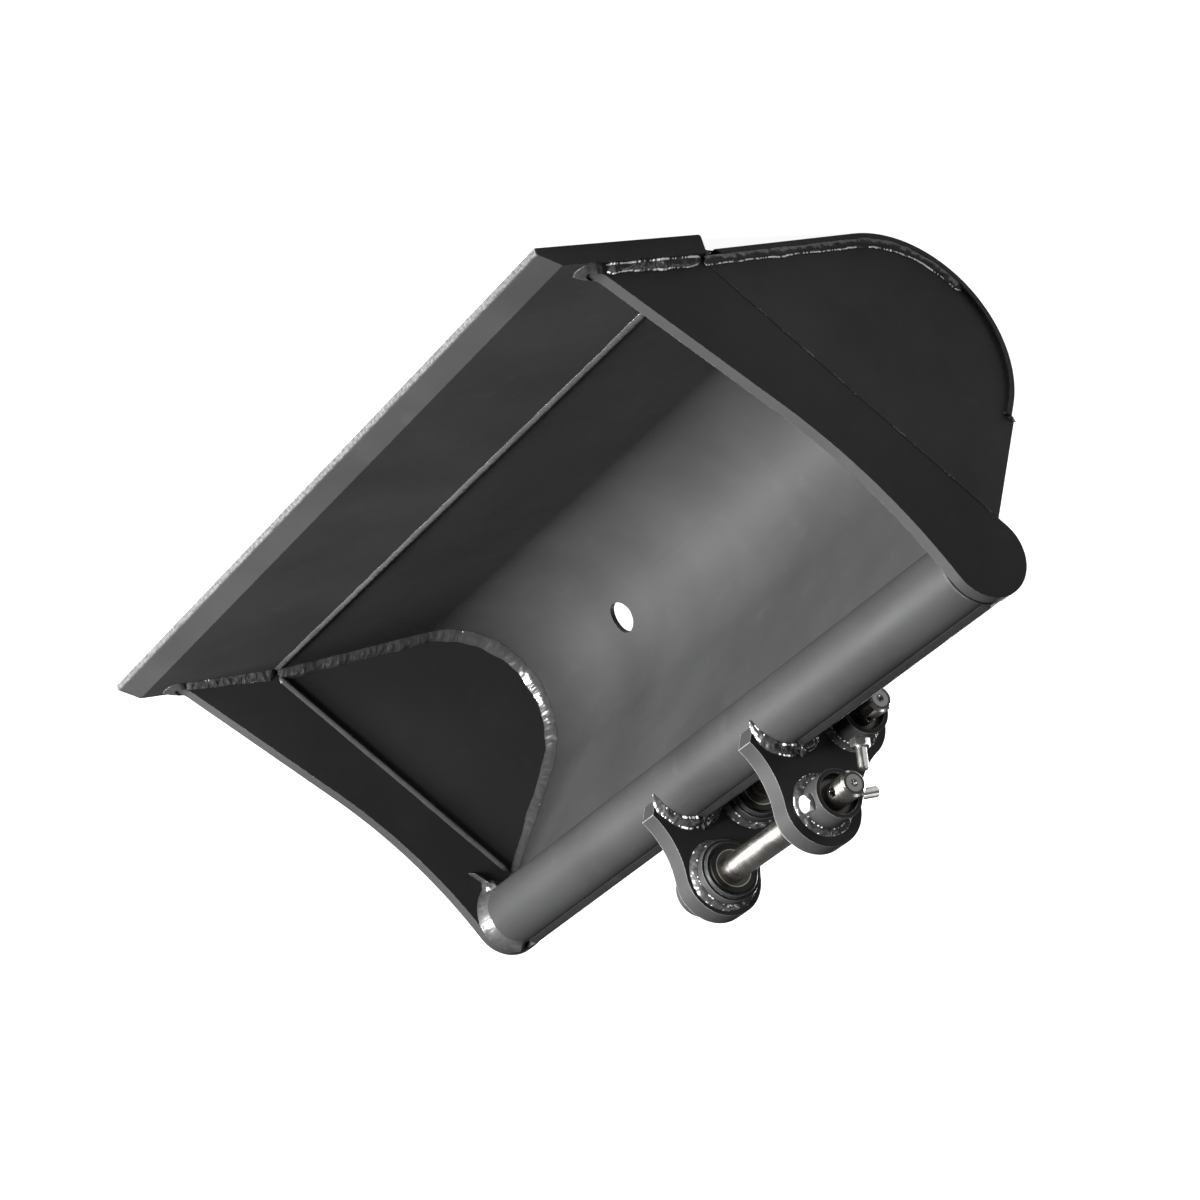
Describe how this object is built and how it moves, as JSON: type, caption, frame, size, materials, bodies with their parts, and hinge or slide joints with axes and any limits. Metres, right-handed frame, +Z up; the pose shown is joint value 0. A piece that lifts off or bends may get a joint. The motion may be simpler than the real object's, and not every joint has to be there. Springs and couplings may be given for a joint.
{
  "type": "mini excavator grading bucket",
  "caption": "Toothless welded grading and ditching bucket for a mini excavator with two pinned hanger ears.",
  "frame": {"origin": "centre of the bounding box in plan, at ground level, with the bucket standing on its cutting edge and the heel of its shell", "axes": "+X along the cutting edge towards the bucket's right side, +Y away from the mouth, +Z up"},
  "size_m": [1.1, 0.53, 0.516],
  "materials": {
    "paint": "gloss black paint",
    "pin_steel": "ground, bright",
    "bush_steel": "turned",
    "zinc": "bright zinc plate"
  },
  "bodies": {
    "bucket": {"cutting_edge": "paint", "shell": "paint", "side_bar_left": "paint", "side_bar_right": "paint", "side_plate_left": "paint", "side_plate_right": "paint", "torque_tube": "paint", "back_doubler": "paint", "ear_left": "paint", "ear_right": "paint", "lower_boss_left": "paint", "lower_boss_right": "paint", "upper_boss_left": "paint", "upper_boss_right": "paint", "lower_collar_left": "paint", "lower_collar_right": "paint", "upper_collar_left": "paint", "upper_collar_right": "paint", "lower_bush_left": "bush_steel", "lower_bush_right": "bush_steel", "upper_bush_left": "bush_steel", "upper_bush_right": "bush_steel"},
    "arm_pin_body": {"lower_pin": "pin_steel"},
    "link_pin_body": {"upper_pin": "pin_steel"},
    "arm_bolt": {"lower_bolt": "zinc"},
    "link_bolt": {"upper_bolt": "zinc"},
    "arm_nut": {"lower_nut": "zinc"},
    "link_nut": {"upper_nut": "zinc"}
  },
  "joints": [
    {"name": "arm_pin_play", "type": "slide", "parent": "bucket", "child": "arm_pin_body", "axis": [1, 0, 0], "range_m": [-0.0008, 0.0008]},
    {"name": "link_pin_play", "type": "slide", "parent": "bucket", "child": "link_pin_body", "axis": [1, 0, 0], "range_m": [-0.0008, 0.0008]},
    {"name": "arm_bolt_draw", "type": "slide", "parent": "bucket", "child": "arm_bolt", "axis": [0, -1, 0], "range_m": [0, 0.09]},
    {"name": "link_bolt_draw", "type": "slide", "parent": "bucket", "child": "link_bolt", "axis": [0, 0.225, -0.9744], "range_m": [0, 0.09]},
    {"name": "arm_nut_off", "type": "slide", "parent": "bucket", "child": "arm_nut", "axis": [0, 1, 0], "range_m": [0, 0.035]},
    {"name": "link_nut_off", "type": "slide", "parent": "bucket", "child": "link_nut", "axis": [0, -0.225, 0.9744], "range_m": [0, 0.035]}
  ]
}
